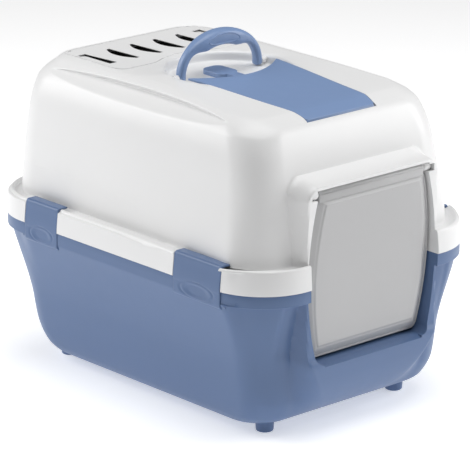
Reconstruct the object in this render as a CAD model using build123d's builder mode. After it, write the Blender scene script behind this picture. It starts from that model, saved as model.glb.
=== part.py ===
"""Cat litter box with a latched hood: tray, hood, swing door, filter, carry handle and scoop store.

The frame is in millimetres: +Z is up, the door faces -Y, +X is to the right of someone who
faces the door, and the origin is on the floor under the middle of the box.
"""
from build123d import *
import math
import os

os.makedirs("parts", exist_ok=True)

# ---------------------------------------------------------------- overall sizes
overall_width = 450.0            # across the hood's rim band
overall_length = 600.0           # along the rim band, door to back
foot_height = 12.0               # floor to the tray's underside
rim_height = 227.0               # floor to the tray's rim
roof_height = 460.0              # floor to the flat top of the hood
wall = 3.0                       # plastic thickness everywhere
seat_gap = 0.3                   # air between pieces that rest on each other
play = 0.4                       # radial air round a turning pin
edge_gap = 1.0                   # air round a lid or a latch in its place

half_width = overall_width / 2
half_length = overall_length / 2

# ---------------------------------------------------------------- tray
# Each level: height, then how far in from the rim band at the sides, door end and back,
# then the plan radius of the corners.
tray_levels = [
    (foot_height, 73, 88, 88, 55),
    (30, 56, 48, 60, 64),
    (60, 44, 34, 46, 74),
    (112, 35, 31, 39, 80),
    (rim_height - 18, 11, 13, 13, 86),
]
band_corner = 93.0               # plan radius of the rim band
rim_inset = 1.5                  # the tray's rim stands this far inside the band
rim_skirt = 18.0                 # depth of the rim's turned-down edge

sill_height = 112.0              # floor to the step at the door
sill_reach = 299.0               # how far out the step stands from the middle
sill_lip = 10.0                  # upright edge of the step
sill_foot_height = 50.0          # where the step's slope meets the tray's wall
entry_gap = 3.0                  # air between the door and its frame
cheek_front = 292.0              # posts beside the door, in the tray
cheek_depth = 26.0

# ---------------------------------------------------------------- feet
foot_radius = 13.0
foot_x = 128.0
foot_y = 213.0

# ---------------------------------------------------------------- hood
band_height = 35.0
band_taper = 4.0                 # the band narrows by this much towards its top
skirt_depth = 9.0                # how far the hood's wall drops inside the tray
hood_foot = rim_height + seat_gap
band_top = hood_foot + band_height
hood_levels = [
    (rim_height - skirt_depth, 25, 28, 22, 72),
    (band_top, 25, 28, 22, 72),
    (350, 34, 42, 29, 70),
    (400, 40, 53, 34, 68),
    (430, 48, 66, 40, 64),
    (442, 57, 76, 46, 60),
    (451, 70, 100, 53, 54),
    (roof_height, 90, 290, 63, 42),
]
frame_half_width = 128.0         # raised frame round the door
frame_top = 371.0
frame_front = 292.0
frame_depth = 45.0
frame_corner = 22.0
header_bottom = 364.0

# ---------------------------------------------------------------- latches
front_latch_width = 96.0
front_latch_y = -174.0
rear_latch_width = 72.0
rear_latch_y = 162.0
latch_plate = 4.0
latch_pivot_height = 207.0
latch_pivot_inset = 5.5          # pivot behind the band's outer face
latch_barrel = 4.5
latch_pin = 2.4
latch_lip = 3.0                  # thickness of the lip over the band
latch_lip_reach = 21.5           # from the latch's face to the lip's inner edge
latch_lip_gap = 0.4              # air under the lip
latch_rib = 2.5                  # thickness of the ribs behind a latch's face
latch_rib_reach = 16.0
latch_rib_inset = 6.0            # from a latch's end to the middle of its outer ribs
latch_lug = 7.0                  # width of each lug that holds a latch pin
latch_lug_depth = 14.5
latch_lug_inset = 2.0            # the lug's outer face behind the band's
latch_gap_root = 35.0            # how far in from the band's face a latch gap is closed off
latch_seat_drop = 12.0           # how far each latch seat is cut below the rim's skirt

# ---------------------------------------------------------------- door
door_end_width = 210.0           # at the door's top and bottom
door_mid_width = 242.0           # where its sides bow out
door_thickness = 3.0
door_bottom = 116.0
door_top = 350.0
door_lean = 11.0                 # the door's foot stands this far behind its top
tray_entry_gap = 4.5             # air between the door and the tray's posts
entry_depth = 90.0               # how far back the way in is cut
frame_hollow_end = 240.0         # the frame's hollow back ends here, inside the hood
skirt_gap_end = 250.0            # the hood has no skirt in front of this
header_back = 220.0              # back of the gap over the door
door_corner = 8.0
door_axis_y = -282.0
door_axis_z = 356.0
door_rod = 4.0
door_knob = 6.0
door_knob_length = 8.0
door_arm = 10.0
door_arm_inset = 18.0
rod_seat_half_gap = 108.0        # from the middle to the inner end of each rod seat

# ---------------------------------------------------------------- carry handle and its recess
recess_radius = 93.0
recess_y = 5.0
recess_floor = 446.0
recess_front = -42.0
handle_y = 28.0
handle_pivot_z = 453.0
handle_half_span = 80.0
handle_rise = 59.0               # height of the arch above its springing line
handle_spring_z = 455.0
handle_leg = 12.0
handle_depth = 14.0
grip_half_length = 44.0
grip_drop = 22.0
grip_depth = 24.0
grip_pad_half_length = 28.0
grip_pad_half_height = 6.5
grip_pad_thickness = 2.0
handle_pin = 3.0
handle_boss_length = 14.0        # of the solid that each handle pin sits in
handle_boss_width = 18.0
collar_radius = 5.0
handle_foot_radius = 6.0

# ---------------------------------------------------------------- scoop lid and well
lid_back_half_width = 86.0
lid_bend_half_width = 70.0
lid_front_half_width = 65.5
lid_bend_y = -200.0
lid_bend_z = 451.0
lid_flat_y = -10.0
lid_axis_y = -219.0
lid_axis_z = 438.5
lid_barrel = 5.0
lid_pin = 2.0
lid_pin_grip = 6.0               # length of pin held at each side
lid_notch_depth = 34.0           # how far the lid's back edge curves in for the scoop
well_half_width = 58.0
well_front = -195.0
well_back = -50.0
well_floor = 416.0

# ---------------------------------------------------------------- filter and its cover
cover_half_width = 127.0
cover_front = 97.0
cover_back = 229.0
cover_arc = 110.0                # radius of the cover's edge round the handle recess
cover_barrel = 3.0
cover_pin = 1.4
cover_corner = 16.0
cover_ear_gap = 3.5              # how far short of the hinge axis the cover's rear corners stop
cover_swing = 1.6                # extra room in the groove for the cover's rear edge as it turns
roof_drop = 7.0                  # solid depth under the lid and the cover
slot_pitch = 44.6
slot_length = 66.0
slot_width = 13.0
slot_count = 6
slot_y = 167.0
pocket_half_width = 108.0
pocket_front = 120.0
pocket_back = 212.0
shelf_top = 442.0
filter_thickness = 9.0
filter_gap = 2.0
grid_slot = 9.0
grid_count = 9

# ---------------------------------------------------------------- scoop
scoop_half_width = 46.0
scoop_front = -186.0
scoop_back = -72.0
scoop_wall = 2.4
scoop_rim = 16.0
scoop_end = 50.0                 # where the scoop's handle ends, behind the middle
scoop_neck_half_width = 9.0
scoop_grip_half_width = 18.0
scoop_handle_height = 7.0
scoop_slots = 7


def level_outline(height, side, front, back, corner, shrink=0.0):
    """One rounded rectangle of a tapered body, as (height, width, length, middle y, radius)."""
    width = 2 * (half_width - side - shrink)
    length = 2 * half_length - front - back - 2 * shrink
    return height, width, length, (front - back) / 2, max(corner - shrink, 2.0)


def tapered_body(outlines):
    """A closed body through rounded rectangles stacked one above the other."""
    with BuildPart() as body:
        for height, width, length, middle, corner in outlines:
            with BuildSketch(Plane.XY.offset(height)):
                with Locations((0, middle)):
                    RectangleRounded(width, length, corner)
        loft(ruled=True)
    return body.part


def block(x0, x1, y0, y1, z0, z1):
    """A plain box between two corners."""
    with BuildPart() as body:
        with Locations(((x0 + x1) / 2, (y0 + y1) / 2, (z0 + z1) / 2)):
            Box(x1 - x0, y1 - y0, z1 - z0)
    return body.part


def rod_x(x0, x1, y, z, radius):
    """A round bar along X."""
    with BuildPart() as body:
        with BuildSketch(Plane.YZ.offset(x0)):
            with Locations((y, z)):
                Circle(radius)
        extrude(amount=x1 - x0)
    return body.part


def rod_y(x, y0, y1, z, radius):
    """A round bar along Y."""
    with BuildPart() as body:
        with BuildSketch(Plane.XZ.offset(-y1)):
            with Locations((x, z)):
                Circle(radius)
        extrude(amount=y1 - y0)
    return body.part


def profile_x(points, half):
    """A closed outline in the YZ plane, carried to both sides by half its width."""
    with BuildPart() as body:
        with BuildSketch(Plane.YZ):
            with BuildLine():
                Polyline(*points, close=True)
            make_face()
        extrude(amount=half, both=True)
    return body.part


def finish(piece, name):
    """Label a finished piece and write it."""
    piece.part.label = name
    export_step(piece.part, f"parts/{name}.step")


def door_outline(grow):
    """The door's outline in the XZ plane, with bowed sides, grown all round."""
    end = door_end_width / 2 + grow
    middle = (door_top + door_bottom) / 2
    with BuildSketch(Plane.XZ) as outline:
        with BuildLine():
            Line((-end, door_top + grow), (end, door_top + grow))
            ThreePointArc((end, door_top + grow), (door_mid_width / 2 + grow, middle),
                          (end, door_bottom - grow))
            Line((end, door_bottom - grow), (-end, door_bottom - grow))
            ThreePointArc((-end, door_bottom - grow), (-door_mid_width / 2 - grow, middle),
                          (-end, door_top + grow))
        make_face()
    return outline.sketch


# Each latch: which side it is on, its middle along the box, and half its width.
latch_places = {
    "front_left": (-1, front_latch_y, front_latch_width / 2),
    "front_right": (1, front_latch_y, front_latch_width / 2),
    "rear_left": (-1, rear_latch_y, rear_latch_width / 2),
    "rear_right": (1, rear_latch_y, rear_latch_width / 2),
}
latch_pivot_x = half_width - latch_pivot_inset
latch_top = band_top + latch_lip_gap + latch_lip

# The way in, cut through the hood and the tray: the door's outline with air all round.
with BuildPart() as entry:
    with BuildSketch(Plane.XZ.offset(half_length + 5)):
        add(door_outline(entry_gap))
    extrude(amount=-entry_depth)
with BuildPart() as tray_entry:
    with BuildSketch(Plane.XZ.offset(half_length + 5)):
        add(door_outline(tray_entry_gap))
    extrude(amount=-entry_depth)

# ---------------------------------------------------------------- tray
tray_outer = tapered_body([level_outline(*level) for level in tray_levels])
floor_level = (foot_height + wall,) + tray_levels[0][1:]
open_level = (rim_height + 1,) + tray_levels[-1][1:]
tray_inner = tapered_body(
    [level_outline(*level, shrink=wall) for level in [floor_level] + tray_levels[1:] + [open_level]]
)
rim_width = overall_width - 2 * rim_inset
rim_length = overall_length - 2 * rim_inset
rim_corner = band_corner - rim_inset
sill_root = -half_length + 70    # inside the tray's front wall
sill_slope = [
    (-sill_reach, sill_height), (-sill_reach, sill_height - sill_lip),
    (-sill_reach + 10, sill_height - 3 * sill_lip), (-half_length + 40, sill_foot_height),
    (sill_root, sill_foot_height), (sill_root, sill_height),
]
sill_hollow = [
    (-sill_reach + wall, sill_height - wall), (-sill_reach + wall, sill_height - sill_lip),
    (-sill_reach + 10 + wall, sill_height - 3 * sill_lip + 2), (-half_length + 44, sill_foot_height + wall),
    (sill_root + 10, sill_foot_height + wall), (sill_root + 10, sill_height - wall),
]

with BuildPart() as tray:
    add(tray_outer)
    with BuildSketch(Plane.XY.offset(rim_height - rim_skirt)):
        RectangleRounded(rim_width, rim_length, rim_corner)
    extrude(amount=rim_skirt)
    with BuildSketch(Plane.XY.offset(rim_height - rim_skirt)):
        RectangleRounded(rim_width - 2 * wall, rim_length - 2 * wall, rim_corner - wall)
        with Locations((0, level_outline(*tray_levels[-1])[3])):
            RectangleRounded(*level_outline(*tray_levels[-1])[1:3], tray_levels[-1][4], mode=Mode.SUBTRACT)
    extrude(amount=rim_skirt - wall, mode=Mode.SUBTRACT)
    add(profile_x(sill_slope, frame_half_width))
    for side, y, half in latch_places.values():
        seat_half = half + edge_gap
        for end in (-1, 1):
            lug_edge = y + end * seat_half
            lug_face = half_width - latch_lug_inset
            add(block(*sorted((side * (lug_face - latch_lug_depth), side * lug_face)),
                      *sorted((lug_edge, lug_edge + end * latch_lug)),
                      rim_height - rim_skirt - 8, rim_height))
        add(block(*sorted((side * (latch_pivot_x - latch_barrel - play), side * (half_width + 5))),
                  y - seat_half, y + seat_half,
                  rim_height - rim_skirt - latch_seat_drop, rim_height + 1), mode=Mode.SUBTRACT)
    add(tray_inner, mode=Mode.SUBTRACT)
    add(profile_x(sill_hollow, frame_half_width - wall), mode=Mode.SUBTRACT)
    # posts beside the door
    for side in (-1, 1):
        add(block(*sorted((side * (door_end_width / 2), side * frame_half_width)), -cheek_front,
                  cheek_depth - cheek_front, sill_height - wall, rim_height))
    add(tray_entry.part, mode=Mode.SUBTRACT)
    for side, y, half in latch_places.values():
        pin_half = half + edge_gap + latch_lug
        add(rod_y(side * latch_pivot_x, y - pin_half, y + pin_half, latch_pivot_height, latch_pin),
            mode=Mode.SUBTRACT)
finish(tray, "tray")

# ---------------------------------------------------------------- feet
for end, y in (("front", -foot_y), ("rear", foot_y)):
    for side, x in (("left", -foot_x), ("right", foot_x)):
        with BuildPart() as foot:
            with BuildSketch(Plane.XY):
                with Locations((x, y)):
                    Circle(foot_radius)
            extrude(amount=foot_height + 20)
            add(tray_outer, mode=Mode.SUBTRACT)
            chamfer(foot.faces().sort_by(Axis.Z)[0].edges(), 1.5)
        finish(foot, f"foot_{end}_{side}")

# ---------------------------------------------------------------- latches and their pins
for name, (side, y, half) in latch_places.items():
    face_x = side * half_width
    with BuildPart() as latch:
        add(block(*sorted((face_x, face_x - side * latch_plate)), y - half, y + half,
                  latch_pivot_height, latch_top))
        add(block(*sorted((face_x, face_x - side * latch_lip_reach)), y - half, y + half,
                  latch_top - latch_lip, latch_top))
        add(rod_y(side * latch_pivot_x, y - half, y + half, latch_pivot_height, latch_barrel))
        for rib in (-1, 0, 1):
            rib_y = y + rib * (half - latch_rib_inset)
            add(block(*sorted((face_x, face_x - side * latch_rib_reach)), rib_y - latch_rib / 2,
                      rib_y + latch_rib / 2, rim_height + 4, latch_top - 1))
        add(rod_y(side * latch_pivot_x, y - 2 * half, y + 2 * half, latch_pivot_height,
                  latch_pin + play), mode=Mode.SUBTRACT)
        top_edges = latch.edges().filter_by(Axis.Y).group_by(Axis.Z)[-1].sort_by(Axis.X)
        fillet(top_edges[-1 if side > 0 else 0], 2.5)
    finish(latch, f"latch_{name}")
    pin_half = half + edge_gap + latch_lug
    with BuildPart() as pin:
        add(rod_y(side * latch_pivot_x, y - pin_half, y + pin_half, latch_pivot_height, latch_pin))
    finish(pin, f"latch_pin_{name}")

# ---------------------------------------------------------------- hood
hood_outer = tapered_body([level_outline(*level) for level in hood_levels])
hood_inside_levels = [(hood_levels[0][0] - 1,) + hood_levels[0][1:]] + hood_levels[1:]
hood_inner = tapered_body([
    level_outline(level[0] - (wall if level[0] > 440 else 0), *level[1:], shrink=wall)
    for level in hood_inside_levels
])
lid_bed = [
    (5, roof_height - roof_drop), (lid_flat_y, roof_height - roof_drop),
    (lid_bend_y, lid_bend_z - roof_drop), (lid_bend_y - 4, lid_axis_z - 9),
    (-half_length, lid_axis_z - 9), (-half_length, roof_height + 10), (5, roof_height + 10),
]
boss_x0 = math.sqrt(recess_radius ** 2 - (handle_y - recess_y) ** 2) - 2
boss_x1 = boss_x0 + handle_boss_length
cover_axis_y = cover_back - cover_barrel
cover_axis_z = roof_height - cover_barrel
barrel_half = cover_half_width - cover_corner

with BuildPart() as cavity:
    add(hood_inner)
    add(profile_x(lid_bed, lid_back_half_width + 6), mode=Mode.SUBTRACT)
    add(block(-well_half_width - wall, well_half_width + wall, well_front - wall, well_back + wall,
              well_floor - wall, roof_height), mode=Mode.SUBTRACT)
    with Locations((0, recess_y, recess_floor - wall)):
        Cylinder(recess_radius + wall, 40, align=(Align.CENTER, Align.CENTER, Align.MIN),
                 mode=Mode.SUBTRACT)
    add(block(-cover_half_width - 4, cover_half_width + 4, cover_front - 6, half_length,
              roof_height - roof_drop, roof_height), mode=Mode.SUBTRACT)
    # solid bar under the cover's hinge groove
    add(block(-cover_half_width - 4, cover_half_width + 4, cover_axis_y - cover_barrel - roof_drop,
              half_length, roof_height - 2 * roof_drop, roof_height), mode=Mode.SUBTRACT)
    add(block(-pocket_half_width - wall, pocket_half_width + wall, pocket_front - wall,
              pocket_back + wall, shelf_top - wall, roof_height), mode=Mode.SUBTRACT)
    for side in (-1, 1):
        add(block(*sorted((side * boss_x0, side * boss_x1)), handle_y - handle_boss_width / 2,
                  handle_y + handle_boss_width / 2,
                  recess_floor - wall, roof_height), mode=Mode.SUBTRACT)

# The band is hollow from below, with closed ends beside each latch.
band_bottom_outline = (hood_foot, overall_width, overall_length, 0, band_corner)
band_top_outline = (band_top, overall_width - 2 * band_taper, overall_length - 2 * band_taper,
                    0, band_corner - band_taper)
band_outer = tapered_body([band_bottom_outline, band_top_outline])
with BuildPart() as band_hollow:
    add(tapered_body([
        (hood_foot - 1, overall_width - 2 * wall, overall_length - 2 * wall, 0, band_corner - wall),
        (band_top - wall, overall_width - 2 * band_taper - 2 * wall,
         overall_length - 2 * band_taper - 2 * wall, 0, band_corner - band_taper - wall),
    ]))
    for side, y, half in latch_places.values():
        add(block(*sorted((side * (half_width - latch_gap_root), side * (half_width + 5))),
                  y - half - edge_gap - wall,
                  y + half + edge_gap + wall, 0, roof_height), mode=Mode.SUBTRACT)

# The lid lies in a shallow bed with the same outline.
lid_axis = (lid_axis_y, lid_axis_z)
lid_pin_half = lid_bend_half_width + edge_gap + lid_pin_grip


def lid_outline(grow):
    """The lid's plan outline on the ground plane, with its curved back edge, grown all round."""
    back = lid_back_half_width + grow
    bend = lid_bend_half_width + grow
    front = lid_front_half_width + grow
    front_y = lid_axis_y - lid_barrel - grow - 2
    with BuildSketch() as outline:
        with BuildLine():
            Line((-back, grow), (-bend, lid_bend_y))
            Line((-bend, lid_bend_y), (-front, front_y))
            Line((-front, front_y), (front, front_y))
            Line((front, front_y), (bend, lid_bend_y))
            Line((bend, lid_bend_y), (back, grow))
            if grow > 0:
                Line((back, grow), (-back, grow))
            else:
                ThreePointArc((back, 0), (0, -lid_notch_depth), (-back, 0))
        make_face()
    return outline.sketch


def lid_shape(grow, thickness, above):
    """The lid's plate, following the roof, thickened by the given amounts below and above."""
    bend_slope = [(5, roof_height + above), (lid_flat_y, roof_height + above),
                  (lid_bend_y, lid_bend_z + above), (lid_axis_y - lid_barrel * 0.6, lid_axis_z + 4 + above)]
    under = [(y, z - thickness - above) for y, z in reversed(bend_slope)]
    with BuildPart() as plan:
        add(lid_outline(grow))
        extrude(amount=roof_height + 40)
    with BuildPart() as body:
        add(profile_x(bend_slope + under, lid_back_half_width + 10))
        add(plan.part, mode=Mode.INTERSECT)
    return body.part


def cover_outline(grow):
    """The filter cover's plan outline: a rounded rectangle cut back round the handle recess."""
    length = cover_back - cover_front
    with BuildSketch() as outline:
        with Locations((0, (cover_front + cover_back) / 2)):
            RectangleRounded(2 * (cover_half_width + grow), length + 2 * grow, cover_corner + grow)
        with Locations((0, recess_y)):
            Circle(cover_arc - grow, mode=Mode.SUBTRACT)
    return outline.sketch


with BuildPart() as hood:
    add(band_outer)
    add(band_hollow.part, mode=Mode.SUBTRACT)
    add(hood_outer)
    # raised frame round the door
    with BuildSketch(Plane.XZ.offset(frame_front - frame_depth)):
        with Locations((0, (hood_foot + frame_top) / 2)):
            RectangleRounded(2 * frame_half_width, frame_top - hood_foot, frame_corner)
        with Locations((0, hood_foot + frame_corner)):
            Rectangle(2 * frame_half_width, 2 * frame_corner)
    extrude(amount=frame_depth)
    add(cavity.part, mode=Mode.SUBTRACT)
    # the frame's hollow back, open to the inside
    add(block(-frame_half_width + wall, frame_half_width - wall, -frame_front + wall, -frame_hollow_end,
              0, frame_top - wall), mode=Mode.SUBTRACT)
    # no skirt in front of the tray's posts
    add(block(-frame_half_width - edge_gap, frame_half_width + edge_gap, -half_length, -skirt_gap_end,
              0, hood_foot), mode=Mode.SUBTRACT)
    # jambs beside the door, cut to its bowed outline
    for side in (-1, 1):
        add(block(*sorted((side * (door_end_width / 2), side * (frame_half_width - wall / 2))),
                  -frame_front, cheek_depth - frame_front, hood_foot, frame_top - wall / 2))
    add(entry.part, mode=Mode.SUBTRACT)
    add(block(-rod_seat_half_gap, rod_seat_half_gap, -half_length, -header_back,
              door_top, header_bottom), mode=Mode.SUBTRACT)
    # seats for the door's rod, open to the front so that it snaps in
    for side in (-1, 1):
        seat_ends = sorted((side * (rod_seat_half_gap - 1),
                            side * (rod_seat_half_gap + door_knob_length + 3)))
        add(rod_x(*seat_ends, door_axis_y, door_axis_z, door_knob + play), mode=Mode.SUBTRACT)
        add(block(*seat_ends, -frame_front - 1, door_axis_y, door_axis_z - 5, door_axis_z + 5),
            mode=Mode.SUBTRACT)
    # gaps in the band for the latches
    for side, y, half in latch_places.values():
        add(block(*sorted((side * (half_width - latch_lip_reach - 2.5), side * (half_width + 5))),
                  y - half - edge_gap, y + half + edge_gap, rim_height - 1, band_top + 1),
            mode=Mode.SUBTRACT)
    # bed and hinge groove of the scoop lid, and the well under it
    add(lid_shape(edge_gap, wall + seat_gap, 5), mode=Mode.SUBTRACT)
    add(rod_x(-lid_bend_half_width - edge_gap, lid_bend_half_width + edge_gap, *lid_axis,
              lid_barrel + edge_gap), mode=Mode.SUBTRACT)
    add(block(-lid_bend_half_width - edge_gap, lid_bend_half_width + edge_gap, -half_length,
              lid_axis_y, lid_axis_z - 2, roof_height), mode=Mode.SUBTRACT)
    add(block(-well_half_width, well_half_width, well_front, well_back, well_floor, roof_height + 1),
        mode=Mode.SUBTRACT)
    # round recess for the carry handle
    with BuildSketch(Plane.XY.offset(recess_floor)):
        with Locations((0, recess_y)):
            Circle(recess_radius)
        with Locations((0, recess_front - 100)):
            Rectangle(300, 200, mode=Mode.SUBTRACT)
    extrude(amount=30, mode=Mode.SUBTRACT)
    add(block(-scoop_neck_half_width - 4, scoop_neck_half_width + 4, well_back - 1, recess_front + 1,
              recess_floor, roof_height), mode=Mode.SUBTRACT)
    # bed, pocket and shelf of the filter
    with BuildSketch(Plane.XY.offset(roof_height - wall - seat_gap)):
        add(cover_outline(edge_gap))
    extrude(amount=10, mode=Mode.SUBTRACT)
    add(block(-barrel_half - edge_gap, barrel_half + edge_gap,
              cover_axis_y - cover_barrel - edge_gap - cover_swing, cover_back + edge_gap + cover_swing,
              cover_axis_z - cover_barrel - edge_gap - cover_swing, roof_height), mode=Mode.SUBTRACT)
    add(block(-pocket_half_width, pocket_half_width, pocket_front, pocket_back, shelf_top,
              roof_height), mode=Mode.SUBTRACT)
    with BuildSketch(Plane.XY.offset(shelf_top - wall - 1)):
        with Locations((0, (pocket_front + pocket_back) / 2)):
            with GridLocations((2 * pocket_half_width - 20) / grid_count, 1, grid_count, 1):
                SlotOverall(pocket_back - pocket_front - 20, grid_slot, rotation=90)
    extrude(amount=wall + 2, mode=Mode.SUBTRACT)
    # bores for the pins of the handle, the lid and the cover
    for side in (-1, 1):
        add(rod_x(*sorted((side * (boss_x0 - 2), side * (boss_x1 - 3))), handle_y, handle_pivot_z,
                  handle_pin), mode=Mode.SUBTRACT)
        add(rod_x(*sorted((side * (barrel_half - 2), side * (barrel_half + edge_gap + 4))),
                  cover_axis_y, cover_axis_z, cover_pin), mode=Mode.SUBTRACT)
    add(rod_x(-lid_pin_half, lid_pin_half, *lid_axis, lid_pin), mode=Mode.SUBTRACT)
finish(hood, "hood")

# ---------------------------------------------------------------- door
with BuildPart() as door:
    with BuildSketch(Plane.XZ.offset(frame_front)):
        add(door_outline(0))
    extrude(amount=-20)
    door_ends = door.edges().filter_by(Axis.Y)
    fillet(door_ends, door_corner)
    panel_section = [
        (-frame_front, door_top), (-frame_front + door_thickness, door_top),
        (-frame_front + door_lean + door_thickness, door_bottom), (-frame_front + door_lean, door_bottom),
    ]
    add(profile_x(panel_section, door_mid_width / 2 + 1), mode=Mode.INTERSECT)
    for x in (-1, 0, 1):
        arm_x = x * (door_end_width / 2 - door_arm_inset)
        add(block(arm_x - door_arm / 2, arm_x + door_arm / 2, -frame_front + 1, door_axis_y + 2,
                  door_top - 8, door_axis_z + 1))
    add(rod_x(-door_end_width, door_end_width, door_axis_y, door_axis_z, door_rod), mode=Mode.SUBTRACT)
finish(door, "door_panel")

rod_end = rod_seat_half_gap + door_knob_length
with BuildPart() as door_bar:
    add(rod_x(-rod_end, rod_end, door_axis_y, door_axis_z, door_rod))
    for side in (-1, 1):
        add(rod_x(*sorted((side * (rod_seat_half_gap + 0.5), side * rod_end)), door_axis_y, door_axis_z,
                  door_knob))
finish(door_bar, "door_hinge_rod")

# ---------------------------------------------------------------- filter, cover and cover pins
with BuildPart() as filter_pad:
    filter_middle = (pocket_front + pocket_back) / 2
    with BuildSketch(Plane.XY.offset(shelf_top)):
        with Locations((0, filter_middle)):
            RectangleRounded(2 * (pocket_half_width - filter_gap),
                             pocket_back - pocket_front - 2 * filter_gap, 4)
    extrude(amount=filter_thickness)
finish(filter_pad, "charcoal_filter")

with BuildPart() as cover:
    with BuildSketch(Plane.XY.offset(roof_height - wall)):
        add(cover_outline(0))
    extrude(amount=wall)
    add(rod_x(-barrel_half, barrel_half, cover_axis_y, cover_axis_z, cover_barrel))
    with BuildSketch(Plane.XY.offset(roof_height - wall - 5)):
        with Locations((0, slot_y)):
            with GridLocations(slot_pitch, 1, slot_count, 1):
                SlotOverall(slot_length, slot_width, rotation=90)
    extrude(amount=wall + 10, mode=Mode.SUBTRACT)
    add(rod_x(-barrel_half - edge_gap - 5, barrel_half + edge_gap + 5, cover_axis_y, cover_axis_z,
              cover_pin + play), mode=Mode.SUBTRACT)
    # the rear corners stop short of the axis, so that they clear the hood as the cover turns
    for side in (-1, 1):
        add(block(*sorted((side * barrel_half, side * (cover_half_width + 1))), cover_axis_y - cover_ear_gap,
                  cover_back + 1, roof_height - wall - 1, roof_height + 1), mode=Mode.SUBTRACT)
finish(cover, "filter_cover")

with BuildPart() as cover_pins:
    for side in (-1, 1):
        add(rod_x(*sorted((side * (barrel_half - 10), side * (barrel_half + edge_gap + 4))),
                  cover_axis_y, cover_axis_z, cover_pin))
finish(cover_pins, "cover_hinge_pins")

# ---------------------------------------------------------------- carry handle
arch_top = handle_spring_z + handle_rise
with BuildPart() as handle:
    with BuildSketch(Plane.XZ.offset(-handle_y)):
        with Locations((0, handle_spring_z)):
            Ellipse(handle_half_span, handle_rise)
        with Locations((0, handle_spring_z)):
            Ellipse(handle_half_span - handle_leg, handle_rise - grip_drop + 4, mode=Mode.SUBTRACT)
        with Locations((0, handle_spring_z - 100)):
            Rectangle(400, 200, mode=Mode.SUBTRACT)
        for side in (-1, 1):
            leg_x = side * (handle_half_span - handle_leg / 2)
            with Locations((leg_x, (handle_pivot_z + handle_spring_z) / 2)):
                Rectangle(handle_leg, handle_spring_z - handle_pivot_z)
    extrude(amount=handle_depth / 2, both=True)
    with BuildSketch(Plane.XZ.offset(-handle_y)):
        with Locations((0, handle_spring_z)):
            Ellipse(handle_half_span, handle_rise)
        with Locations((0, handle_spring_z)):
            Ellipse(handle_half_span - handle_leg, handle_rise - grip_drop + 2, mode=Mode.SUBTRACT)
        with Locations((0, arch_top - 10)):
            Rectangle(2 * grip_half_length, 60, mode=Mode.INTERSECT)
    extrude(amount=grip_depth / 2, both=True)
    for side in (-1, 1):
        add(rod_x(*sorted((side * (handle_half_span - handle_leg), side * handle_half_span)),
                  handle_y, handle_pivot_z, handle_foot_radius))
    add(rod_x(-handle_half_span - 1, handle_half_span + 1, handle_y, handle_pivot_z,
              handle_pin + play), mode=Mode.SUBTRACT)
    pad_z = arch_top - grip_drop / 2
    with BuildSketch(Plane.XZ.offset(-handle_y + grip_depth / 2)):
        with Locations((0, pad_z)):
            Ellipse(grip_pad_half_length, grip_pad_half_height)
    extrude(amount=-grip_pad_thickness, mode=Mode.SUBTRACT)
finish(handle, "carry_handle")

with BuildPart() as grip_pad:
    with BuildSketch(Plane.XZ.offset(-handle_y + grip_depth / 2)):
        with Locations((0, pad_z)):
            Ellipse(grip_pad_half_length, grip_pad_half_height)
    extrude(amount=-grip_pad_thickness)
finish(grip_pad, "handle_grip_pad")

for name, side in (("left", -1), ("right", 1)):
    with BuildPart() as handle_pin_piece:
        add(rod_x(*sorted((side * (handle_half_span - handle_leg + 1), side * (boss_x1 - 3))),
                  handle_y, handle_pivot_z, handle_pin))
        add(rod_x(*sorted((side * (handle_half_span + 0.5), side * boss_x0)), handle_y, handle_pivot_z,
                  collar_radius))
    finish(handle_pin_piece, f"handle_pin_{name}")

# ---------------------------------------------------------------- scoop lid and its pin
with BuildPart() as lid:
    add(lid_shape(0, wall, 0))
    add(rod_x(-lid_front_half_width, lid_front_half_width, *lid_axis, lid_barrel))
    add(rod_x(-lid_front_half_width - 1, lid_front_half_width + 1, *lid_axis, lid_pin + play),
        mode=Mode.SUBTRACT)
finish(lid, "scoop_lid")

with BuildPart() as lid_pin_piece:
    add(rod_x(-lid_pin_half, lid_pin_half, *lid_axis, lid_pin))
finish(lid_pin_piece, "lid_hinge_pin")

# ---------------------------------------------------------------- scoop
scoop_rise = [
    (scoop_back - 4, well_floor), (scoop_back + 4, well_floor), (well_back - 1, recess_floor),
    (scoop_end, recess_floor), (scoop_end, recess_floor + scoop_handle_height),
    (well_back - 6, recess_floor + scoop_handle_height), (scoop_back - 4, well_floor + 10),
]
with BuildPart() as scoop:
    with BuildSketch(Plane.XY.offset(well_floor)):
        with Locations((0, (scoop_front + scoop_back) / 2)):
            RectangleRounded(2 * scoop_half_width, scoop_back - scoop_front, 8)
    extrude(amount=scoop_rim)
    with BuildSketch(Plane.XY.offset(well_floor + scoop_wall)):
        with Locations((0, (scoop_front + scoop_back) / 2 - scoop_wall)):
            RectangleRounded(2 * (scoop_half_width - scoop_wall), scoop_back - scoop_front, 6)
    extrude(amount=scoop_rim, mode=Mode.SUBTRACT)
    with BuildSketch(Plane.XY.offset(well_floor - 1)):
        with Locations((0, (scoop_front + scoop_back) / 2)):
            with GridLocations((2 * scoop_half_width - 16) / (scoop_slots - 1), 1, scoop_slots, 1):
                SlotOverall(80, 5, rotation=90)
    extrude(amount=scoop_wall + 2, mode=Mode.SUBTRACT)
    add(profile_x(scoop_rise, scoop_neck_half_width))
    with BuildSketch(Plane.XY.offset(recess_floor)):
        with Locations((0, scoop_end - 24)):
            RectangleRounded(2 * scoop_grip_half_width, 48, 12)
    extrude(amount=scoop_handle_height)
    fillet(scoop.faces().filter_by(Axis.Z).sort_by(Axis.Z)[-1].edges().filter_by(
        lambda e: e.center().Y > 0), 1.5)
finish(scoop, "scoop")
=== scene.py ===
"""Cat litter box with a latched hood: tray, hood, swing door, filter cover, carry handle and scoop.

Lengths in this file are in millimetres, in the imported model's own frame: +Z up, the door faces -Y.
They become metres when a mesh is made.
"""
import math

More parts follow.
